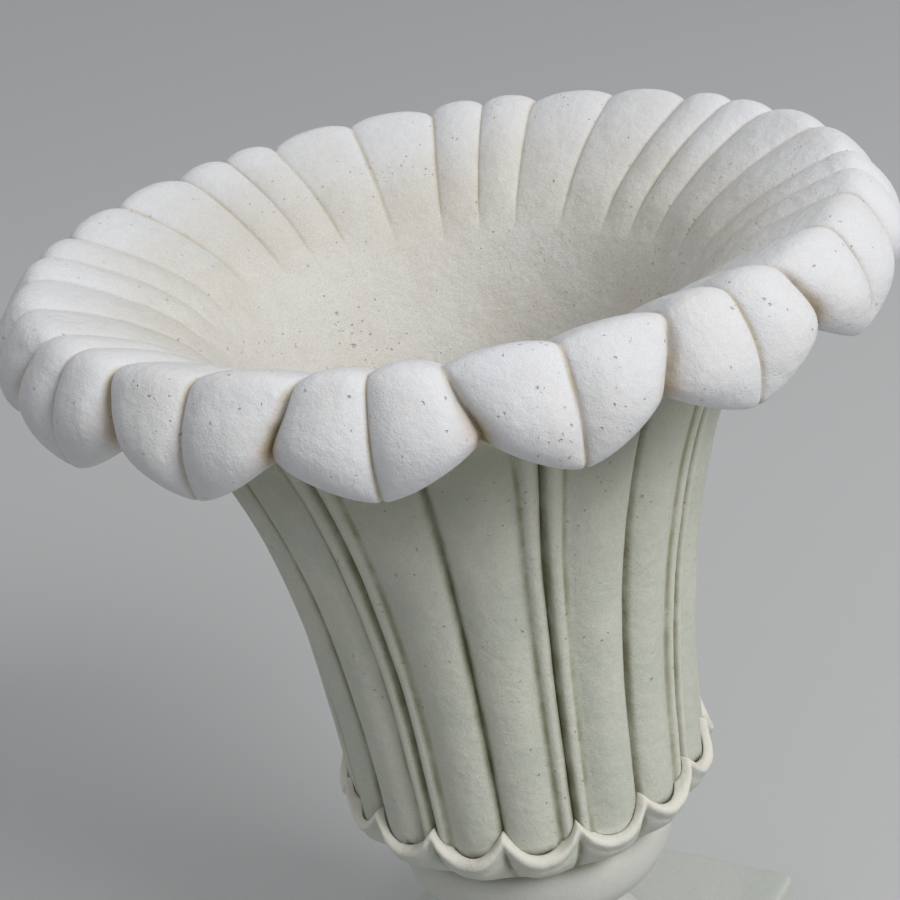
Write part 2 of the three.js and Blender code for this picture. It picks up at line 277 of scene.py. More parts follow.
class Bowl:
    """The bowl as a grid: columns round the urn, rows along the section. Each block of rows adds radius,
    level, lean of the gaps and masks. All in metres."""

    def __init__(self):
        s = sizes()
        self.size = s
        signed = np.tile(petal_places(), PETALS)
        self.petal = np.repeat(np.arange(PETALS), 2 * PLACES)
        self.side = np.sign(signed)
        self.q = np.abs(signed)
        self.wide = self.petal % 2 == 0
        self.seat = low("bowl").z
        self.top = self.seat + s.bowl_height
        self.body_top = self.top - s.rim_depth
        self.body_foot = self.seat + s.lip_low - s.trough
        self.blocks = []

    def add(self, radius, level, lean=0.0, q=None, **masks):
        shape = (np.shape(radius)[0], self.q.size)
        q = np.broadcast_to(self.q if q is None else q, shape)
        lean = np.broadcast_to(np.asarray(lean, float).reshape(-1, 1), shape)
        half = 0.5 + np.where(self.wide, lean, -lean)
        turn = (self.petal + self.side * q * half) * PITCH
        points = place(np.broadcast_to(radius, shape), turn, np.broadcast_to(level, shape))
        self.blocks.append((points, {name: np.broadcast_to(masks.get(name, 0.0), shape) for name in MASKS}))

    def groove_radius(self, level):
        """Radius of the body's grooves: it flares from the calyx to the rim as a straight line and a power."""
        share = np.clip((level - self.body_foot) / (self.body_top - self.body_foot), 0, 1)
        flare = 0.18 * share + 0.82 * share ** 2.75
        return mix(self.size.body_foot_radius, self.size.rim_radius - self.size.rim_overhang, flare)

    def floor_rows(self):
        s = self.size
        level = self.seat + s.floor
        edge = s.body_foot_radius - s.wall
        ease = 0.0015
        hollow = [[s.bore_radius, level - ease], [s.bore_radius + ease, level], [edge * 0.35, level],
                  [edge - 0.026, level + 0.0005], [edge - 0.008, level + 0.006], [edge - 0.0005, level + 0.024]]
        corner = spline(hollow, np.linspace(0, 5, 16))
        self.add(corner[:, :1], corner[:, 1:], inside=1.0)
        share = np.linspace(0.13, 0.985, 16)[:, None]
        levels = mix(self.body_foot, self.body_top, share)
        self.add(self.groove_radius(levels) - s.wall - s.wall_swell * share ** 3, levels, inside=1.0)

    def rim_rows(self):
        """The petals: between the middle groove and the gap the face turns in with the cube of q and the edge
        rises with a power of q that leaves a point at the groove. Each lobe then stands out at right angles
        to the section, as one less a power of the distance from its crest."""
        s = self.size
        # rows along the section, closest together over the petal's edge
        stretches = ((0, 3, 26), (3, 7, 40), (7, 10, 26))
        at = [np.linspace(start, end, count, endpoint=False) for start, end, count in stretches]
        at = np.concatenate([*at, np.linspace(10, 13, 12)])
        middle, gap = (spline(section, at) * MM for section in (MIDDLE_GROOVE, PETAL_GAP))
        height, lean, fullness = (spline(np.array(row)[:, None], at) for row in (LOBE_HEIGHT, GAP_LEAN, FULLNESS))
        inset = mix(middle[:, :1], gap[:, :1], self.q ** 3)
        drop = mix(middle[:, 1:], gap[:, 1:], self.q ** 1.25)
        across, along = np.gradient(-drop, axis=0), np.gradient(-inset, axis=0)
        step = np.maximum(np.hypot(across, along), 1e-9)
        number = 2 * self.petal + (self.side > 0)
        own = 1 + LOBE_VARIATION * np.sin(number * 2.1 + 0.5)
        rise = height * MM * (1 - np.abs(2 * self.q - 1) ** fullness) * own
        # thin cuts: along the middle groove, and deeper along the outer part of the gap
        present = smoothstep(0.1, 1.0, at)[:, None] * (1 - smoothstep(9.0, 10.0, at))[:, None]
        outer = smoothstep(3.4, 5.0, at)[:, None]
        arc = (s.rim_radius - inset) * PITCH / 2
        to_middle, to_gap = self.q * arc, (1 - self.q) * arc
        cut = (0.0006 + 0.0008 * outer) * fade(to_middle, 0.0013)
        cut = (cut + (0.0006 + 0.0034 * outer) * fade(to_gap, 0.0013 + 0.0008 * outer)) * present
        radius = s.rim_radius - inset - across / step * (rise - cut)
        level = self.top - drop + along / step * (rise - cut)
        near = (0.65 + 0.25 * outer) * fade(to_middle, 0.0019, 1.4)
        near = near + (0.65 + 0.55 * outer) * fade(to_gap, 0.002 + 0.0016 * outer, 1.4)
        stain = fade(to_gap, 0.007) * smoothstep(4.6, 6.8, at)[:, None]
        self.add(radius, level, lean, groove=near * present, stain=stain,
                 inside=1 - smoothstep(0.5, 3.4, at)[:, None], body=smoothstep(8.4, 9.6, at)[:, None])

    def relief(self, q):
        """How far the body stands out of its grooves. Beside a beaded groove there is a half-round bead, then
        a soft groove, and the panel rises from it as a quarter of a sine wave. Its crest lies nearer to the
        plain groove, to which it falls as one less a power."""
        s = self.size
        soft, crest = SOFT_GROOVE_AT, CREST_AT
        across = np.clip(q / soft, 0, 1)
        bead = s.soft_groove * across + s.bead_relief * (1 - np.abs(2 * across - 1) ** 2.2) ** 0.7
        away = np.where(self.wide, q, 2 - q)
        rise = np.sin(np.clip((away - soft) / (2 - crest - soft), 0, 1) * math.pi / 2)
        panel = mix(s.soft_groove, s.panel_relief, rise)
        fall = s.panel_relief * (1 - (1 - np.clip(q / crest, 0, 1)) ** 2.3) ** 0.8
        return np.where(self.wide, np.where(q < soft, bead, panel), np.where(q < crest, fall, panel))

    def body_rows(self):
        rows = 34
        levels = mix(self.body_top, self.body_foot, np.linspace(0, 1, rows) ** 1.1)[:, None]
        crowd = smoothstep(0, 5, np.arange(rows))[:, None]
        q = mix(self.q, self.q ** 1.25, crowd)
        base = self.groove_radius(levels)
        arc = base * PITCH / 2
        cut = np.where(self.wide, 0.003, 0.002) * fade(q * arc, 0.0014)
        soft = np.where(self.wide, fade((q - SOFT_GROOVE_AT) * arc, 0.0024), 0)
        near = 1.1 * fade(q * arc, 0.0032, 1.5) + 0.85 * soft
        bead = np.where(self.wide, 0.5 * fade(q - BEAD_AT, BEAD_WIDTH), 0)
        # The last mask is painted shadow of the rim, strongest at the top of the body and gone 90 mm below it.
        self.add(base + self.relief(q) - cut, levels, q=q, groove=near, body=1.0, lip=bead,
                 sheltered=smoothstep(self.body_top - 0.09, self.body_top, levels))

    def lip(self, q):
        """Level and outer radius of the calyx lip: high at the grooves, low in the middle of a cup."""
        s = self.size
        from_groove = np.hypot(q, 0.05) - 0.05
        middle = 1 - (1 - from_groove) ** 2.5
        return self.seat + mix(s.lip_high, s.lip_low, middle), s.lip_radius + s.lip_bulge * middle

    def calyx_rows(self):
        s = self.size
        q = self.q ** 1.1
        level, outer = self.lip(q)
        # the narrow trough behind the lip, down along the body and up again
        down = np.linspace(0, 1, 5)[:, None]
        body = self.groove_radius(level) + self.relief(q)
        bottom = level - s.trough
        inner = body + s.lip_gap
        self.add(mix(body, body + s.lip_gap * 0.3, down), mix(level - 0.0004, bottom, down), q=q, body=1.0,
                 groove=0.45 + 0.45 * down)
        self.add(mix(inner, inner + 0.0001, down[1:]), mix(bottom + 0.0004, level - 0.0012, down[1:]), q=q,
                 groove=0.9 - 0.6 * down[1:])
        # the lip's broad top: an eased inner edge, a flat that tips outwards, and a rounded outer edge
        outer = np.maximum(outer, inner + LEAST_LIP)
        out, top = np.split(np.array(LIP_TOP), 2, axis=1)
        self.add(mix(inner, outer, out), level + top * MM, q=q, lip=1.0)
        # the cups: drawn in under the lip, bulging below it, with grooves between them
        share = np.linspace(0.05, 1, 24)[:, None]
        outline = mix(outer, s.bowl_foot_radius, share ** 1.7) - 0.0014 * fade(share - 0.2, 0.1)
        arc = outline * PITCH / 2
        notch = 0.0026 * fade(q * arc, 0.0024) * smoothstep(0.0, 0.5, share) * (1 - share ** 4)
        # The last term darkens the foot of the cups, where they meet the stem: painted shade under the calyx.
        near = 1.2 * fade(q * arc, 0.0018, 1) * smoothstep(0.05, 0.3, share) + 0.6 * share ** 12
        self.add(outline - notch, mix(level - LIP_EDGE, self.seat + 0.0008, share), q=q, groove=near, body=0.8)

    def foot_rows(self):
        s = self.size
        end = s.bowl_foot_radius
        profile = np.array([[end, 0.0012], [end - 0.001, 0.0003], [end - 0.003, 0], [end / 2, 0],
                            [s.bore_radius + 0.001, 0], [s.bore_radius, 0.001]])
        self.add(profile[:, :1], self.seat + profile[:, 1:], body=1.0)

    def points(self):
        self.floor_rows()
        self.rim_rows()
        self.body_rows()
        self.calyx_rows()
        self.foot_rows()
        points = np.concatenate([block[0] for block in self.blocks])
        masks = {name: np.concatenate([block[1][name] for block in self.blocks]) for name in MASKS}
        return points, masks


# ------------------------------------------------------------------ shader node groups
class Nodes:
    """Short words for building a node tree."""

    def __init__(self, tree):
        self.tree = tree

    def add(self, kind, **settings):
        node = self.tree.nodes.new(kind)
        for key, value in settings.items():
            setattr(node, key, value)
        return node

    def link(self, source, target):
        self.tree.links.new(source, target)

    def put(self, target, value):
        """Joins a socket to a value, or sets the value on it."""
        if isinstance(value, bpy.types.NodeSocket):
            self.link(value, target)
        else:
            target.default_value = value

    def math(self, operation, *values, clamp=False):
        node = self.add("ShaderNodeMath", operation=operation, use_clamp=clamp)
        for socket, value in zip(node.inputs, values):
            self.put(socket, value)
        return node.outputs[0]

    def blend(self, share, a, b):
        """Colour a, turning into colour b by a share."""
        node = self.add("ShaderNodeMix", data_type="RGBA")
        self.put(node.inputs[0], share)
        self.put(node.inputs[6], a if isinstance(a, bpy.types.NodeSocket) else (*a, 1))
        self.put(node.inputs[7], b if isinstance(b, bpy.types.NodeSocket) else (*b, 1))
        return node.outputs[2]

    def ramp(self, value, low_edge, high_edge, low_value=0.0, high_value=1.0):
        node = self.add("ShaderNodeMapRange", interpolation_type="SMOOTHSTEP")
        for socket, number in zip(node.inputs, (value, low_edge, high_edge, low_value, high_value)):
            self.put(socket, number)
        return node.outputs[0]

    def noise(self, vector, scale, detail=4.0, roughness=0.5):
        node = self.add("ShaderNodeTexNoise")
        for label, value in (("Vector", vector), ("Scale", scale), ("Detail", detail), ("Roughness", roughness)):
            self.put(node.inputs[label], value)
        return node.outputs["Fac"]

    def attribute(self, name):
        return self.add("ShaderNodeAttribute", attribute_name=name).outputs["Fac"]

    def use(self, group, **values):
        """Places a node group with its own values."""
        node = self.add("ShaderNodeGroup", node_tree=group)
        for label, value in values.items():
            self.put(node.inputs[label], value)
        return node.outputs


def new_group(name, inputs, outputs):
    """An empty node group with named sockets, and its input and output nodes."""
    tree = bpy.data.node_groups.new(name, "ShaderNodeTree")
    for label, kind, default in inputs:
        socket = tree.interface.new_socket(label, in_out="INPUT", socket_type="NodeSocket" + kind)
        if default is not None:
            socket.default_value = default
    for label, kind in outputs:
        tree.interface.new_socket(label, in_out="OUTPUT", socket_type="NodeSocket" + kind)
    nodes = Nodes(tree)
    return tree, nodes, nodes.add("NodeGroupInput").outputs, nodes.add("NodeGroupOutput").inputs


def mottle_group():
    """Cloudy change of tone: wide clouds and finer ones, as a share between two tones."""
    tree, n, given, out = new_group("Stone Mottle", [("Vector", "Vector", None), ("Scale", "Float", 20.0)],
                                    [("Clouds", "Float"), ("Specks", "Float")])
    wide = n.noise(given["Vector"], given["Scale"], 3.0, 0.55)
    fine = n.noise(given["Vector"], n.math("MULTIPLY", given["Scale"], 7.0), 4.0, 0.6)
    clouds = n.math("ADD", n.math("MULTIPLY", wide, 0.65), n.math("MULTIPLY", fine, 0.35))
    n.link(n.ramp(clouds, 0.38, 0.62), out["Clouds"])
    grains = n.noise(given["Vector"], n.math("MULTIPLY", given["Scale"], 60.0), 2.0, 0.6)
    n.link(n.ramp(grains, 0.35, 0.65), out["Specks"])
    return tree


def pits_group():
    """Small air holes: in a few of the cells of a bent cell pattern, where clouds let them gather, a hole of
    its own size."""
    tree, n, given, out = new_group(
        "Air Holes", [("Vector", "Vector", None), ("Scale", "Float", 90.0), ("Share", "Float", 0.2),
                      ("Radius", "Float", 0.12)], [("Mask", "Float")])
    bend = n.add("ShaderNodeVectorMath", operation="MULTIPLY_ADD")
    wander = n.add("ShaderNodeTexNoise")
    n.link(given["Vector"], wander.inputs["Vector"])
    n.put(wander.inputs["Scale"], 420.0)
    n.link(wander.outputs["Color"], bend.inputs[0])
    n.put(bend.inputs[1], (0.003, 0.003, 0.003))
    n.link(given["Vector"], bend.inputs[2])
    cells = n.add("ShaderNodeTexVoronoi", feature="F1")
    n.link(bend.outputs[0], cells.inputs["Vector"])
    n.link(given["Scale"], cells.inputs["Scale"])
    draw = n.add("ShaderNodeSeparateColor")
    n.link(cells.outputs["Color"], draw.inputs[0])
    gather = n.ramp(n.noise(given["Vector"], 13.0, 2.0), 0.45, 0.68, 0.06, 1.0)
    chosen = n.math("LESS_THAN", draw.outputs[0], n.math("MULTIPLY", given["Share"], gather))
    radius = n.math("MULTIPLY", given["Radius"], n.math("ADD", draw.outputs[1], 0.3))
    inside = n.math("SUBTRACT", 1.0, n.math("DIVIDE", cells.outputs["Distance"], radius), clamp=True)
    n.link(n.math("MULTIPLY", n.ramp(inside, 0.0, 0.7), chosen), out["Mask"])
    return tree


def grain_group():
    """Height of a cast surface: sandy grain over low bumps."""
    tree, n, given, out = new_group("Cast Grain", [("Vector", "Vector", None)], [("Height", "Float")])
    sand = n.noise(given["Vector"], 900.0, 3.0, 0.6)
    bumps = n.noise(given["Vector"], 160.0, 4.0, 0.55)
    slow = n.noise(given["Vector"], 45.0, 2.0, 0.5)
    total = n.math("ADD", n.math("MULTIPLY", sand, 0.35), n.math("MULTIPLY", bumps, 0.9))
    n.link(n.math("ADD", total, n.math("MULTIPLY", slow, 1.6)), out["Height"])
    return tree


def grime_and_shade_group():
    """Where stains and dirt lie and, on some pieces, painted shade: a mask from the shape, broken up by clouds."""
    tree, n, given, out = new_group(
        "Grime and Painted Shade", [("Vector", "Vector", None), ("Place", "Float", 0.0), ("Amount", "Float", 1.0)],
        [("Mask", "Float")])
    broken = n.ramp(n.noise(given["Vector"], 38.0, 5.0, 0.6), 0.3, 0.68, 0.35, 1.0)
    grime_and_shade_share = n.math("MULTIPLY", n.math("MULTIPLY", given["Place"], broken), given["Amount"], clamp=True)
    n.link(grime_and_shade_share, out["Mask"])
    return tree


GROUPS = {}


def shared(maker):
    """A shared node group, made the first time it is asked for."""
    if maker not in GROUPS:
        GROUPS[maker] = maker()
    return GROUPS[maker]


def new_material(name, roughness, metallic=0.0):
    material = bpy.data.materials.new(name)
    material.use_nodes = True
    nodes = Nodes(material.node_tree)
    shader = material.node_tree.nodes["Principled BSDF"]
    shader.inputs["Roughness"].default_value = roughness
    shader.inputs["Metallic"].default_value = metallic
    return material, nodes, shader


def bump(nodes, shader, height, distance):
    node = nodes.add("ShaderNodeBump")
    node.inputs["Strength"].default_value = 1.0
    node.inputs["Distance"].default_value = distance
    nodes.link(height, node.inputs["Height"])
    nodes.link(node.outputs[0], shader.inputs["Normal"])


def bowl_stone():
    """Cast stone of the bowl: cool and clean on the rim, warm inside, streaked under the rim, with thin brown and
    olive lines in the grooves, brown stains at the gaps and small air holes. Under the rim it is painted darker
    and grey-green for painted shade and green bounce light, with a painted shadow of the rim on the top of the
    body and painted shade at the foot of the calyx."""
    c = colours()
    material, n, shader = new_material("bowl_stone", roughness=0.86)
    where = n.add("ShaderNodeTexCoord").outputs["Object"]
    mottle = n.use(shared(mottle_group), Vector=where, Scale=14.0)
    stretch = n.add("ShaderNodeMapping")
    n.link(where, stretch.inputs["Vector"])
    n.put(stretch.inputs["Scale"], (1, 1, 0.22))
    streaks = n.ramp(n.noise(stretch.outputs[0], 55.0, 4.0, 0.6), 0.35, 0.7)
    body = n.attribute("body")
    deep = n.attribute("inside")
    tone = n.blend(n.math("MULTIPLY", mottle["Clouds"], n.ramp(deep, 0.0, 1.0, 0.3, 0.8)), tuple(c.stone),
                   tuple(c.weathered))
    tone = n.blend(n.math("MULTIPLY", deep, 0.75), tone, tuple(c.inside))
    # Painted shade and green bounce light under the rim: the body's darker grey-green tone.
    tone = n.blend(body, tone, tuple(c.body))
    tone = n.blend(n.math("MULTIPLY", n.math("MULTIPLY", body, streaks), 0.35), tone, tuple(c.weathered))
    tone = n.blend(n.math("MULTIPLY", n.math("MULTIPLY", body, mottle["Clouds"]), 0.3), tone, tuple(c.cream))
    # Painted shadow of the rim: the top of the body darkened towards olive.
    tone = n.blend(n.math("MULTIPLY", n.attribute("sheltered"), 0.35), tone, tuple(c.grime_and_shade))
    tone = n.blend(n.math("MULTIPLY", n.attribute("lip"), 0.85), tone, tuple(c.cream))
    speckled = n.math("MAXIMUM", n.ramp(deep, 0.0, 1.0, 0.07, 0.2), n.math("MULTIPLY", body, 0.17))
    tone = n.blend(n.math("MULTIPLY", mottle["Specks"], speckled), tone, tuple(c.pit))
    blotches = n.math("MULTIPLY", n.math("MULTIPLY", deep, mottle["Clouds"]), 0.12)
    stained = n.math("MAXIMUM", blotches, n.attribute("stain"))
    stain = n.use(shared(grime_and_shade_group), Vector=where, Place=stained, Amount=0.85)
    tone = n.blend(stain["Mask"], tone, tuple(c.rust))
    groove = n.attribute("groove")
    # Brown and olive lines in the grooves; at the foot of the cups the groove mask is painted shade under the
    # calyx.
    line = n.use(shared(grime_and_shade_group), Vector=where, Place=n.ramp(groove, 0.15, 0.8), Amount=1.0)
    dark = n.blend(n.math("MAXIMUM", body, n.ramp(groove, 1.0, 1.2)), tuple(c.thread), tuple(c.grime_and_shade))
    tone = n.blend(n.math("MULTIPLY", line["Mask"], 0.8), tone, dark)
    often = n.ramp(deep, 0.1, 0.9, 0.17, 0.34)
    holes = n.use(shared(pits_group), Vector=where, Scale=95.0, Share=often, Radius=0.14)
    oftener = n.math("MULTIPLY", often, 1.8)
    small = n.use(shared(pits_group), Vector=where, Scale=280.0, Share=oftener, Radius=0.24)
    hole = n.math("MAXIMUM", holes["Mask"], n.math("MULTIPLY", small["Mask"], 0.8))
    tone = n.blend(n.math("MULTIPLY", hole, 0.2), tone, tuple(c.pit))
    n.link(tone, shader.inputs["Base Color"])
    grain = n.use(shared(grain_group), Vector=where)["Height"]
    bump(n, shader, n.math("SUBTRACT", grain, n.math("MULTIPLY", hole, 1.2)), distance=0.001)
    return material


def plain_stone(name, own_tone):
    """Cast stone without streaks, in a piece's own tone: faint clouds and a few air holes."""
    c = colours()
    material, n, shader = new_material(name, roughness=0.84)
    where = n.add("ShaderNodeTexCoord").outputs["Object"]
    mottle = n.use(shared(mottle_group), Vector=where, Scale=12.0)
    tone = n.blend(n.math("MULTIPLY", mottle["Clouds"], 0.25), tuple(own_tone), tuple(c.weathered))
    tone = n.blend(n.math("MULTIPLY", mottle["Specks"], 0.1), tone, tuple(c.pit))
    # Darkened along the groove mask: painted shade on the stem just under the bowl, and a darker band at the
    # stem's foot and round it on the plinth.
    groove = n.use(shared(grime_and_shade_group), Vector=where, Place=n.attribute("groove"), Amount=0.7)
    tone = n.blend(groove["Mask"], tone, tuple(c.grime_and_shade))
    holes = n.use(shared(pits_group), Vector=where, Scale=100.0, Share=0.12, Radius=0.12)
    tone = n.blend(n.math("MULTIPLY", holes["Mask"], 0.6), tone, tuple(c.pit))
    n.link(tone, shader.inputs["Base Color"])
    height = n.math("SUBTRACT", n.use(shared(grain_group), Vector=where)["Height"], holes["Mask"])
    bump(n, shader, height, distance=0.0005)
    return material


def stem_stone():
    """Cast stone of the stem, in its own tone."""
    return plain_stone("stem_stone", colours().stem)


def plinth_stone():
    """Cast stone of the plinth, greener and darker than the stem: painted shade of the urn and painted green
    bounce light.
    """
    return plain_stone("plinth_stone", colours().plinth)


def mortar_finish():
    """Bedding mortar: sandy and rough."""
    c = colours()
    material, n, shader = new_material("bedding_mortar", roughness=0.95)
    where = n.add("ShaderNodeTexCoord").outputs["Object"]
    mottle = n.use(shared(mottle_group), Vector=where, Scale=60.0)
    tone = n.blend(n.math("MULTIPLY", mottle["Clouds"], 0.6), tuple(c.mortar), tuple(c.weathered))
    tone = n.blend(n.math("MULTIPLY", mottle["Specks"], 0.4), tone, tuple(c.pit))
    n.link(tone, shader.inputs["Base Color"])
    bump(n, shader, n.use(shared(grain_group), Vector=where)["Height"], distance=0.0012)
    return material


def zinc_finish():
    """Galvanised steel: dull zinc with pale and dark spangles."""
    c = colours()
    material, n, shader = new_material("galvanised_steel", roughness=0.45, metallic=0.9)
    where = n.add("ShaderNodeTexCoord").outputs["Object"]
    spangle = n.add("ShaderNodeTexVoronoi")
    n.link(where, spangle.inputs["Vector"])
    n.put(spangle.inputs["Scale"], 260.0)
    shade = n.add("ShaderNodeSeparateColor")
    n.link(spangle.outputs["Color"], shade.inputs[0])
    clouds = n.noise(where, 90.0, 3.0)
    tone = n.blend(n.math("MULTIPLY", shade.outputs[0], 0.35), tuple(c.zinc), tuple(c.spangle))
    n.link(tone, shader.inputs["Base Color"])
    n.link(n.ramp(clouds, 0.3, 0.7, 0.34, 0.58), shader.inputs["Roughness"])
    bump(n, shader, clouds, distance=0.0001)
    return material


def rubber_finish():
    """Black rubber of the drain gasket, slightly dusty."""
    c = colours()
    material, n, shader = new_material("gasket_rubber", roughness=0.8)
    where = n.add("ShaderNodeTexCoord").outputs["Object"]
    dust = n.ramp(n.noise(where, 70.0, 4.0), 0.4, 0.75)
    tone = n.blend(n.math("MULTIPLY", dust, 0.12), tuple(c.rubber), tuple(c.dust))
    n.link(tone, shader.inputs["Base Color"])
    bump(n, shader, n.noise(where, 600.0, 2.0), distance=0.0001)
    return material


FINISHES = {}


def finish_of(maker):
    """A finish that more than one piece shares, made the first time it is asked for."""
    if maker not in FINISHES:
        FINISHES[maker] = maker()
    return FINISHES[maker]


# ------------------------------------------------------------------ pieces
class URN_OT_bowl(bpy.types.Operator):
    """Casts the bowl with its petal rim, leaf panels and calyx"""
    bl_idname = "urn.bowl"
    bl_label = "Bowl"

    def execute(self, context):
        points, masks = Bowl().points()
        normals = grid_normals(points)
        points = uneven(points, normals, depth=0.0007, wavelength=0.09)
        points = uneven(points, normals, depth=0.0003, wavelength=0.03)
        finish(solid("urn_bowl", points, masks), "cast_stone", finish_of(bowl_stone), "bowl")
        return {"FINISHED"}


class URN_OT_stem(bpy.types.Operator):
    """Turns the stem: a foot, a waist and the round ring under the bowl"""
    bl_idname = "urn.stem"
    bl_label = "Stem"

    def execute(self, context):
        bottom, top = low("stem").z, high("stem").z
        ring = high("stem").x
        s = sizes()
        bore, foot, waist = s.bore_radius, s.foot_radius, s.waist_radius
        tall = top - bottom
        ease = 0.001
        underside = [[bore, bottom + ease], [bore + ease, bottom], [foot - 0.03, bottom], [foot - 0.002, bottom]]
        side = [[foot, bottom + 0.0015], [foot, bottom + s.foot_lip],
                [foot - 0.0035, bottom + s.foot_lip + 0.0035]]
        neck = [[mix(waist, foot, 0.35), bottom + tall * 0.21], [waist, bottom + tall * 0.37],
                [mix(waist, ring, 0.2), bottom + tall * 0.515], [mix(waist, ring, 0.66), bottom + tall * 0.62]]
        swell = [[mix(waist, ring, 0.92), bottom + tall * 0.74], [ring, bottom + tall * 0.864],
                 [ring - 0.002, top - 0.006], [ring - 0.0065, top - 0.0008], [ring - 0.01, top]]
        upper_side = [[ring / 2, top], [bore + ease, top], [bore, top - ease]]
        profile = underside + side + neck + swell + upper_side
        points = turned(profile, columns=240, steps=150)
        points = uneven(points, grid_normals(points), depth=0.0006, wavelength=0.07)
        level = points[..., 2]
        # The top of the stem, under the bowl, gets painted shade; its foot gets a darker band.
        under_bowl = smoothstep(top - 0.008, top, level)
        at_foot = 1 - smoothstep(bottom, bottom + 0.012, level)
        groove = 0.8 * under_bowl + 0.5 * at_foot
        finish(solid("urn_stem", points, {"groove": groove}), "cast_stone", finish_of(stem_stone), "stem")
        return {"FINISHED"}


class URN_OT_plinth(bpy.types.Operator):
    """Casts the square plinth, with its bore and the recess under it"""
    bl_idname = "urn.plinth"
    bl_label = "Plinth"

    def execute(self, context):
        top = high("plinth").z
        half = high("plinth").x
        s = sizes()
        bore, corner, recess, recess_top = s.bore_radius, s.plinth_corner, s.recess_radius, s.recess_depth
        turn = np.linspace(0, 2 * math.pi, 480, endpoint=False)
        # the square's outline: a superellipse of high power, with the corners eased by its power
        power = 2 * math.log(2) / (2 * math.log(1 / (1 - corner / half * (1 - math.sqrt(0.5)))) + 1e-9)
        square = (np.abs(np.cos(turn)) ** power + np.abs(np.sin(turn)) ** power) ** (-1 / power)
        rows = []
        lower_edge = [(0.0022, 0.0), (0.0007, 0.0006), (0.0, 0.0022)]
        face = [(0.0, level) for level in np.linspace(0.006, top - 0.006, 22)]
        upper_edge = [(0.0, top - 0.003), (0.0004, top - 0.0015), (0.0014, top - 0.0004), (0.003, top)]
        for inset, level in lower_edge + face + upper_edge:
            rows.append(place((half - inset) * square, turn, level))
        for share in np.linspace(0.95, 0.0, 26):
            rows.append(place(mix(bore + 0.001, half - 0.003, share) * mix(1.0, square, share), turn, top))
        rows += [place(bore, turn, level) for level in np.linspace(top - 0.001, recess_top, 6)]
        rows += [place(radius, turn, recess_top) for radius in np.linspace(bore + 0.002, recess, 4)]
        rows += [place(recess, turn, level) for level in np.linspace(recess_top - 0.002, 0.001, 5)]
        for share in np.linspace(0, 0.98, 12):
            rows.append(place(mix(recess + 0.001, half - 0.0022, share) * mix(1.0, square, share), turn, 0.0))
        points = np.stack(rows)
        underside = (points[..., 2] < 0.001)[..., None]
        points = np.where(underside, points, uneven(points, grid_normals(points), depth=0.0006, wavelength=0.08))
        level = points[..., 2]
        away = np.hypot(points[..., 0], points[..., 1])
        foot = high("stem").x * 0.7
        groove = 0.5 * fade(np.abs(away - foot), 0.004, 1) * (level > top - 0.002)   # darker ring round the stem's foot
        finish(solid("urn_plinth", points, {"groove": groove}), "plinth_stone", finish_of(plinth_stone), "plinth")
        return {"FINISHED"}


class URN_OT_mortar_beds(bpy.types.Operator):
    """Lays the mortar beds of the two joints, with ragged edges"""
    bl_idname = "urn.mortar_beds"
    bl_label = "Mortar beds"

    def execute(self, context):
        for name in ("upper_mortar_bed", "lower_mortar_bed"):
            (_, _, bottom), (radius, _, top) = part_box(name)
            bore = sizes().bore_radius + 0.0003
            thick = top - bottom
            lower = [[bore, bottom], [radius * 0.5, bottom], [radius - 0.001, bottom],
                     [radius, bottom + thick * 0.3]]
            upper = [[radius, bottom + thick * 0.7], [radius - 0.001, top], [radius * 0.5, top], [bore, top]]
            profile = lower + upper
            points = turned(profile, columns=200, steps=40)
            turn = np.arctan2(points[..., 1], points[..., 0])
            at_edge = smoothstep(radius * 0.6, radius, np.hypot(points[..., 0], points[..., 1]))
            ragged = 1 - 0.012 * (np.sin(turn * 17) + np.sin(turn * 41 + 1)) * at_edge
            points[..., :2] *= ragged[..., None]
            finish(solid("urn_" + name, points), "mortar", finish_of(mortar_finish), name)
        return {"FINISHED"}


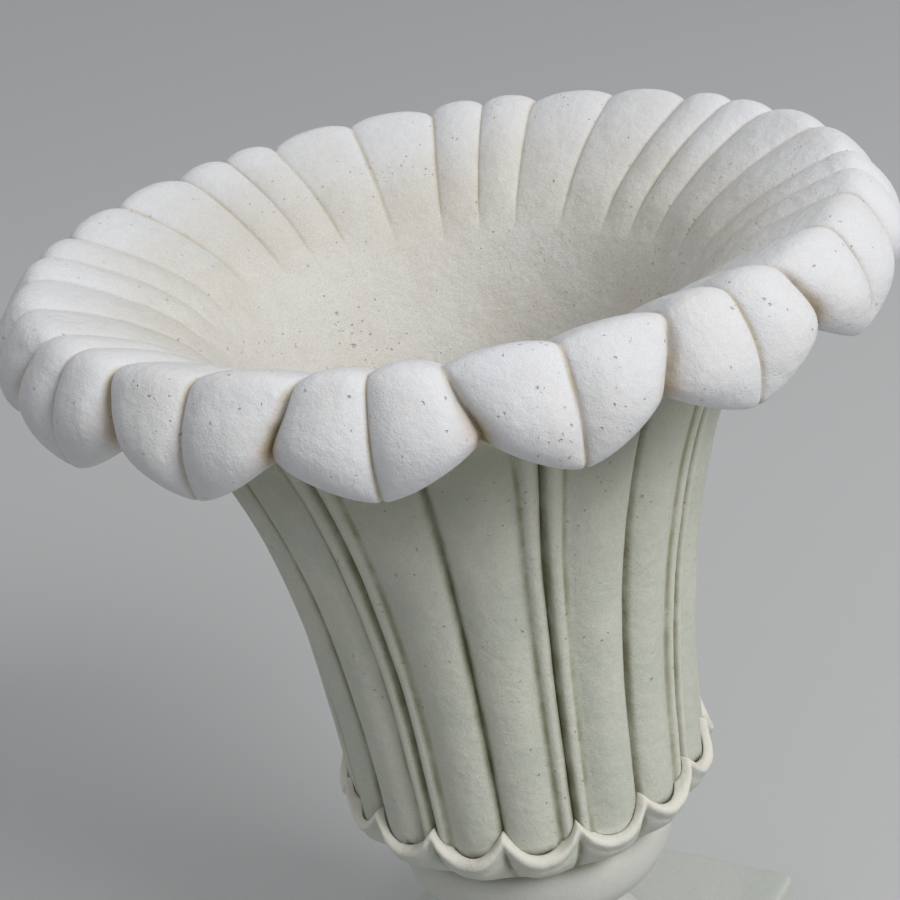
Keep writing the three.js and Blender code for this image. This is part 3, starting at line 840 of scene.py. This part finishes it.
class URN_OT_tie(bpy.types.Operator):
    """Threads the tie tube and puts on its nuts, washers and gasket"""
    bl_idname = "urn.tie"
    bl_label = "Tie tube"

    def execute(self, context):
        zinc = finish_of(zinc_finish)
        self.tube(zinc)
        for name in ("top_nut", "bottom_nut"):
            self.nut(name, zinc)
        for name in ("top_washer", "bottom_washer"):
            self.washer(name, 0.0005, zinc, "galvanised_steel")
        self.washer("drain_gasket", 0.0011, finish_of(rubber_finish), "rubber")
        return {"FINISHED"}

    def tube(self, zinc):
        """A tube with a thread near its two ends: its outside falls and rises once in each pitch and each turn."""
        (_, _, bottom), (radius, _, top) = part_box("tie_tube")
        pitch, threaded = sizes().thread_pitch, sizes().thread_length
        bore = radius * 0.6
        inner_rim, outer_rim = bore + 0.0006, radius - 0.0014
        ends = np.arange(0.0012, threaded, pitch / 8)
        plain = np.linspace(bottom + threaded, top - threaded, 12)
        levels = np.concatenate([bottom + ends, plain, top - ends[::-1]])
        turn = np.linspace(0, 2 * math.pi, 40, endpoint=False)
        cut = (levels < bottom + threaded) | (levels > top - threaded)
        depth = np.where(cut, sizes().thread_depth, 0.0)
        wave = np.abs(((levels[:, None] / pitch - turn / (2 * math.pi)) % 1) * 2 - 1)
        outer = radius - 0.0001 - depth[:, None] * smoothstep(0.1, 0.9, wave)
        rows = [place(outer_rim, turn, bottom)]
        rows += [place(around, turn, level) for around, level in zip(outer, levels)]
        rows += [place(outer_rim, turn, top), place(inner_rim, turn, top)]
        rows += [place(bore, turn, level) for level in np.linspace(top - 0.0006, bottom + 0.0006, 14)]
        rows += [place(inner_rim, turn, bottom)]
        points = np.stack(rows)
        finish(solid("urn_tie_tube", points), "galvanised_steel", zinc, "tie_tube")

    def nut(self, name, zinc):
        """A hexagon whose corners are cut back by a cone above and below, with a bore."""
        (_, _, bottom), (_, flat, top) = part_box(name)
        bore = high("tie_tube").x + 0.0002
        tall = top - bottom
        turn = np.linspace(0, 2 * math.pi, 120, endpoint=False)
        hexagon = flat / np.cos((turn - math.pi / 6) % (math.pi / 3) - math.pi / 6)
        rises = np.linspace(0, 0.0016, 4)
        cut_back = [(np.minimum(hexagon, flat * 0.96 + 2.2 * rise), rise) for rise in rises]
        rows = [place(outline, turn, bottom + rise) for outline, rise in cut_back]
        rows += [place(hexagon, turn, bottom + tall * share) for share in (0.2, 0.5, 0.8)]
        rows += [place(outline, turn, top - rise) for outline, rise in cut_back[::-1]]
        rows += [place(bore + 0.001, turn, top), place(bore, turn, top - 0.001)]
        rows += [place(bore, turn, bottom + 0.001), place(bore + 0.001, turn, bottom)]
        piece = solid("urn_" + name, np.stack(rows))
        piece.data.set_sharp_from_angle(angle=math.radians(35))
        finish(piece, "galvanised_steel", zinc, name)

    def washer(self, name, edge, material, slot):
        """A flat ring with eased edges."""
        (_, _, bottom), (radius, _, top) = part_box(name)
        bore = high("tie_tube").x + 0.0002
        turn = np.linspace(0, 2 * math.pi, 96, endpoint=False)
        eased = edge * 0.3
        lower = [(bore, bottom + edge), (bore + edge, bottom), (radius - edge, bottom),
                 (radius - eased, bottom + eased), (radius, bottom + edge)]
        upper = [(radius, top - edge), (radius - eased, top - eased), (radius - edge, top), (bore + edge, top),
                 (bore, top - edge)]
        rows = [place(around, turn, level) for around, level in lower + upper]
        piece = solid("urn_" + name, np.stack(rows))
        piece.data.set_sharp_from_angle(angle=math.radians(50))
        finish(piece, slot, material, name)


class URN_OT_dowels(bpy.types.Operator):
    """Gives the steel dowels in the joints their finish"""
    bl_idname = "urn.dowels"
    bl_label = "Dowels"

    def execute(self, context):
        for name in ("upper_dowel_1", "upper_dowel_2", "lower_dowel_1", "lower_dowel_2"):
            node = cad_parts[name]
            node.data.materials.clear()
            node.data.materials.append(finish_of(zinc_finish))
        return {"FINISHED"}


# ------------------------------------------------------------------ stage
# The camera, from the photograph's perspective: the frame is 900 pixels wide, and the petal at -Y is turned
# away from the picture's middle by FACING.
FACING = 0.596367
ELEVATION = 0.421321
ROLL = -0.172201
DISTANCE = 1.27740
AIM = (-0.015897, 0.0, 0.470528)
FOCAL_PIXELS = 1963.469
PICTURE_PIXELS = 900
SENSOR = 36.0

# The softbox, placed as seen from the camera: metres to its right, behind the urn (in front if negative) and up.
SOFTBOX_AT = (2.45, -2.22, 2.93)
SOFTBOX_AIM = (0, 0, 0.45)
SOFTBOX_WIDTH = 2.1
SOFTBOX_WATTS = 120
SOFTBOX_TINT = (1.0, 0.995, 0.98)
SKY_TINT = (0.97, 0.99, 1.0)


class URN_OT_stage(bpy.types.Operator):
    """Sets the floor, the light and the camera"""
    bl_idname = "urn.stage"
    bl_label = "Stage"

    def execute(self, context):
        self.floor()
        self.light()
        self.camera()
        return {"FINISHED"}

    def floor(self):
        reach = 6.0
        mesh = bpy.data.meshes.new("studio_floor")
        corners = [(-reach, -reach, 0), (reach, -reach, 0), (reach, reach, 0), (-reach, reach, 0)]
        mesh.from_pydata(corners, [], [(0, 1, 2, 3)])
        floor = bpy.data.objects.new("studio_floor", mesh)
        bpy.context.scene.collection.objects.link(floor)
        material, n, shader = new_material("studio_floor", roughness=0.9)
        shader.inputs["Base Color"].default_value = (*colours().floor, 1)
        mesh.materials.append(material)

    def light(self):
        """Soft light from overhead, and a softbox to the right of the camera. What is seen of the studio is
        as plain as the floor."""
        world = bpy.data.worlds.new("studio")
        world.use_nodes = True
        bpy.context.scene.world = world
        n = Nodes(world.node_tree)
        background = world.node_tree.nodes["Background"]
        path = n.add("ShaderNodeLightPath")
        reflected = n.math("MAXIMUM", path.outputs["Is Glossy Ray"], path.outputs["Is Transmission Ray"])
        seen = n.math("MAXIMUM", path.outputs["Is Camera Ray"], reflected)
        way = n.add("ShaderNodeSeparateXYZ")
        n.link(n.add("ShaderNodeTexCoord").outputs["Generated"], way.inputs[0])
        from_below = n.ramp(way.outputs[2], 0.25, 0.6, 0.0, 1.0)
        overhead = n.math("MULTIPLY", from_below, n.ramp(way.outputs[2], 0.5, 1.0, 1.0, 0.35))
        n.link(n.blend(seen, SKY_TINT, tuple(colours().floor)), background.inputs["Color"])
        n.link(n.math("MAXIMUM", overhead, seen), background.inputs["Strength"])
        light = bpy.data.lights.new("softbox", "AREA")
        light.shape = "DISK"
        light.size = SOFTBOX_WIDTH
        light.energy = SOFTBOX_WATTS
        light.color = SOFTBOX_TINT
        lamp = bpy.data.objects.new("softbox", light)
        lamp.location = Matrix.Rotation(FACING, 3, "Z") @ Vector(SOFTBOX_AT)
        lamp.rotation_euler = (lamp.location - Vector(SOFTBOX_AIM)).to_track_quat("Z", "Y").to_euler()
        bpy.context.scene.collection.objects.link(lamp)

    def camera(self):
        turned_to_camera = Matrix.Rotation(FACING, 3, "Z")
        forward = Vector((0, math.cos(ELEVATION), -math.sin(ELEVATION)))
        right = Vector((1, 0, 0))
        up = Vector((0, math.sin(ELEVATION), math.cos(ELEVATION)))
        axis_x = right * math.cos(ROLL) + up * math.sin(ROLL)
        axis_y = up * math.cos(ROLL) - right * math.sin(ROLL)
        where = Vector(AIM) - forward * DISTANCE
        turn = Matrix((axis_x, axis_y, -forward)).transposed()
        data = bpy.data.cameras.new("camera")
        data.sensor_width = SENSOR
        data.lens = SENSOR * FOCAL_PIXELS / PICTURE_PIXELS
        camera = bpy.data.objects.new("camera", data)
        camera.matrix_world = (turned_to_camera @ turn).to_4x4()
        camera.location = turned_to_camera @ where
        bpy.context.scene.collection.objects.link(camera)
        bpy.context.scene.camera = camera
        bpy.context.scene.view_settings.view_transform = "Standard"


class URN_PT_panel(bpy.types.Panel):
    """The urn's pieces, in the 3D view's sidebar"""
    bl_idname = "URN_PT_panel"
    bl_label = "Urn Planter"
    bl_space_type = "VIEW_3D"
    bl_region_type = "UI"
    bl_category = "Urn"

    def draw(self, context):
        for operator in OPERATORS:
            self.layout.operator(operator.bl_idname)
        for group in (context.scene.urn_sizes, context.scene.urn_colours):
            for name in group.__annotations__:
                self.layout.prop(group, name)


OPERATORS = (URN_OT_bowl, URN_OT_stem, URN_OT_plinth, URN_OT_mortar_beds, URN_OT_tie, URN_OT_dowels, URN_OT_stage)
CLASSES = (UrnSizes, UrnColours, *OPERATORS, URN_PT_panel)


def register():
    for each in CLASSES:
        bpy.utils.register_class(each)
    bpy.types.Scene.urn_sizes = bpy.props.PointerProperty(type=UrnSizes)
    bpy.types.Scene.urn_colours = bpy.props.PointerProperty(type=UrnColours)


def unregister():
    del bpy.types.Scene.urn_colours
    del bpy.types.Scene.urn_sizes
    for each in reversed(CLASSES):
        bpy.utils.unregister_class(each)


def main():
    register()
    bpy.ops.urn.bowl()
    bpy.ops.urn.stem()
    bpy.ops.urn.plinth()
    bpy.ops.urn.mortar_beds()
    bpy.ops.urn.tie()
    bpy.ops.urn.dowels()
    bpy.ops.urn.stage()


if __name__ == "__main__":
    main()
